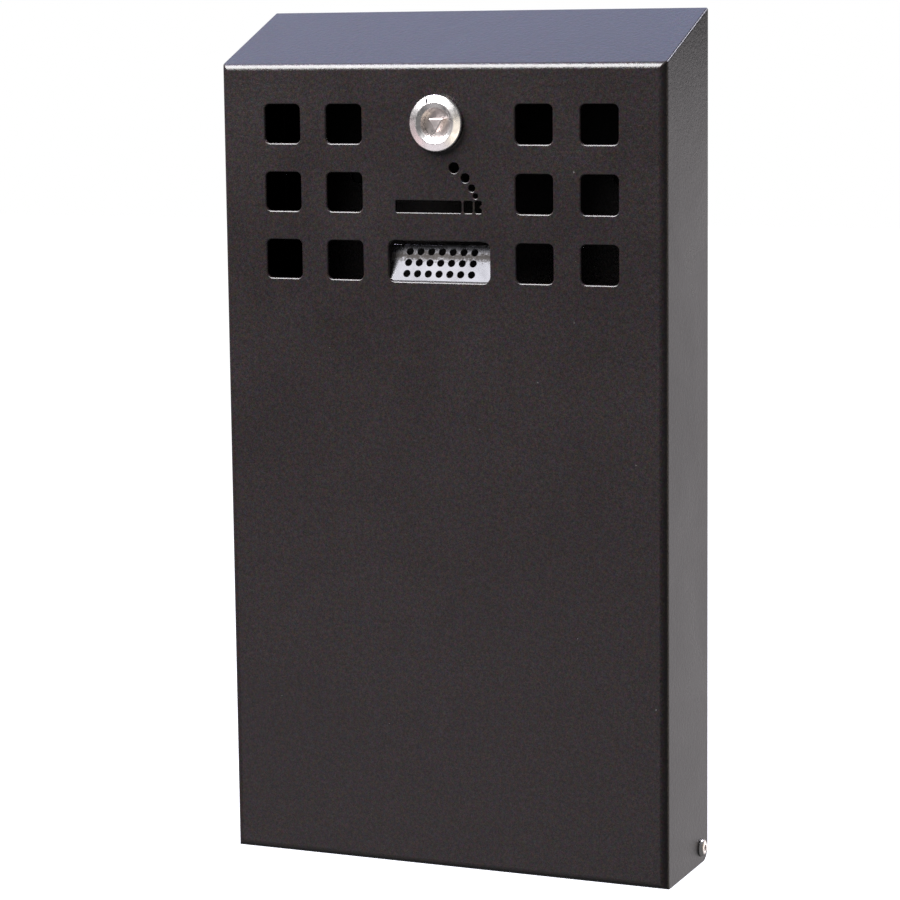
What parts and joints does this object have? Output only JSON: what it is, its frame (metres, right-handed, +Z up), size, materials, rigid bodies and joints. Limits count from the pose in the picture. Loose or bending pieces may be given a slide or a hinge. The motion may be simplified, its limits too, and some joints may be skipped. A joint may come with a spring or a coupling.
{
  "type": "wall ashtray bin",
  "caption": "Slim wall-mounted cigarette bin: dark folded cover with square vents, sign, stub slot and triangle-key lock, hinged at its foot over a tray with a lift-out liner.",
  "frame": {"origin": "centre of the four wall-fixing holes, on the wall plane behind the back plate", "axes": "+Z up, +X to the right seen from the front, +Y into the wall; the front faces -Y"},
  "size_m": [0.2494, 0.071, 0.446],
  "materials": {
    "cover_coat": "dark brown-black polyester powder coat, fine texture, satin",
    "tray_coat": "dark brown-black powder coat, satin",
    "stub_stainless": "perforated stainless sheet, bright",
    "lock_nickel": "satin nickel plate",
    "lock_core_metal": "nickel-plated die casting, dull",
    "stainless_screw": "bright stainless",
    "zinc_plate": "bright zinc plate",
    "galvanised": "galvanised sheet with faint spangle",
    "nylon": "natural nylon",
    "rubber": "black rubber"
  },
  "bodies": {
    "wall_unit": {"back_plate": "tray_coat", "strike_plate": "tray_coat", "strike_rivets": "zinc_plate", "hook_rivets": "zinc_plate", "liner_hook_left": "tray_coat", "liner_hook_right": "tray_coat", "pivot_screw_left": "stainless_screw", "pivot_screw_right": "stainless_screw", "pivot_bush_left": "zinc_plate", "pivot_bush_right": "zinc_plate", "pivot_washer_left": "nylon", "pivot_washer_right": "nylon", "pivot_nut_left": "zinc_plate", "pivot_nut_right": "zinc_plate"},
    "cover": {"front_cover": "cover_coat", "stub_plate": "stub_stainless", "stub_studs": "zinc_plate", "stub_washers": "zinc_plate", "stub_nuts": "zinc_plate", "lock_housing": "lock_nickel", "lock_gasket": "rubber", "lock_toothed_washer": "zinc_plate", "lock_nut": "lock_nickel"},
    "lock_rotor": {"lock_core": "lock_core_metal", "lock_core_oring": "rubber", "lock_cam": "zinc_plate", "cam_washer": "zinc_plate", "cam_screw": "zinc_plate"},
    "liner_bucket": {"liner": "galvanised", "handle_ear_left": "galvanised", "handle_ear_right": "galvanised", "ear_rivets": "zinc_plate"},
    "handle": {"liner_handle": "zinc_plate"}
  },
  "joints": [
    {"name": "cover_hinge", "type": "hinge", "parent": "wall_unit", "child": "cover", "pos_m": [0, -0.0115, -0.2], "axis": [1, 0, 0], "range_deg": [0, 90]},
    {"name": "lock_turn", "type": "hinge", "parent": "cover", "child": "lock_rotor", "pos_m": [0, -0.067, 0.181], "axis": [0, 1, 0], "range_deg": [0, 90]},
    {"name": "liner_lift", "type": "slide", "parent": "wall_unit", "child": "liner_bucket", "axis": [0, 0, 1], "range_m": [0, 0.011]},
    {"name": "handle_swing", "type": "hinge", "parent": "liner_bucket", "child": "handle", "pos_m": [0, -0.03575, 0.0653], "axis": [-1, 0, 0], "range_deg": [0, 180]}
  ]
}
